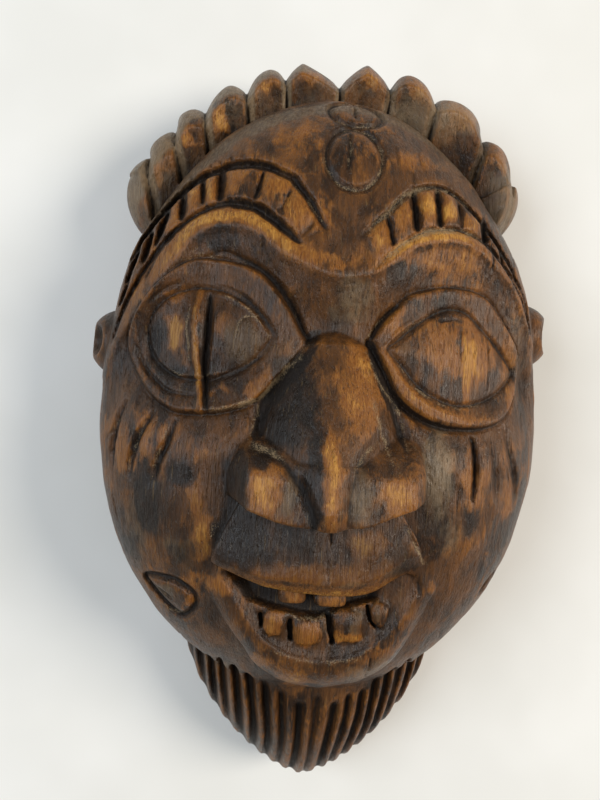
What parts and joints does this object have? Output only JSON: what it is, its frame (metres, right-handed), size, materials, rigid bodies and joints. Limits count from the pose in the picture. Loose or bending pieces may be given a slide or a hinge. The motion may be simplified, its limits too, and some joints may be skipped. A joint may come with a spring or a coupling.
{
  "type": "carved wooden face mask",
  "caption": "Carved wooden face mask with almond eyes, notched brows, a broad nose, open mouth with teeth, pleated hair and a fluted beard; hollow back.",
  "frame": {"origin": "on the flat back, under the middle of the mask's bounding box", "axes": "+Y from the beard to the hair, +Z out of the face, +X to the right as the viewer sees the face"},
  "size_m": [0.188, 0.2989, 0.102],
  "materials": {
    "stained_wood": "dark brown stained and waxed hardwood, semi-gloss, rubbed through to golden brown on the high places"
  },
  "bodies": {
    "root": {"carved_mask": "stained_wood"}
  },
  "joints": []
}
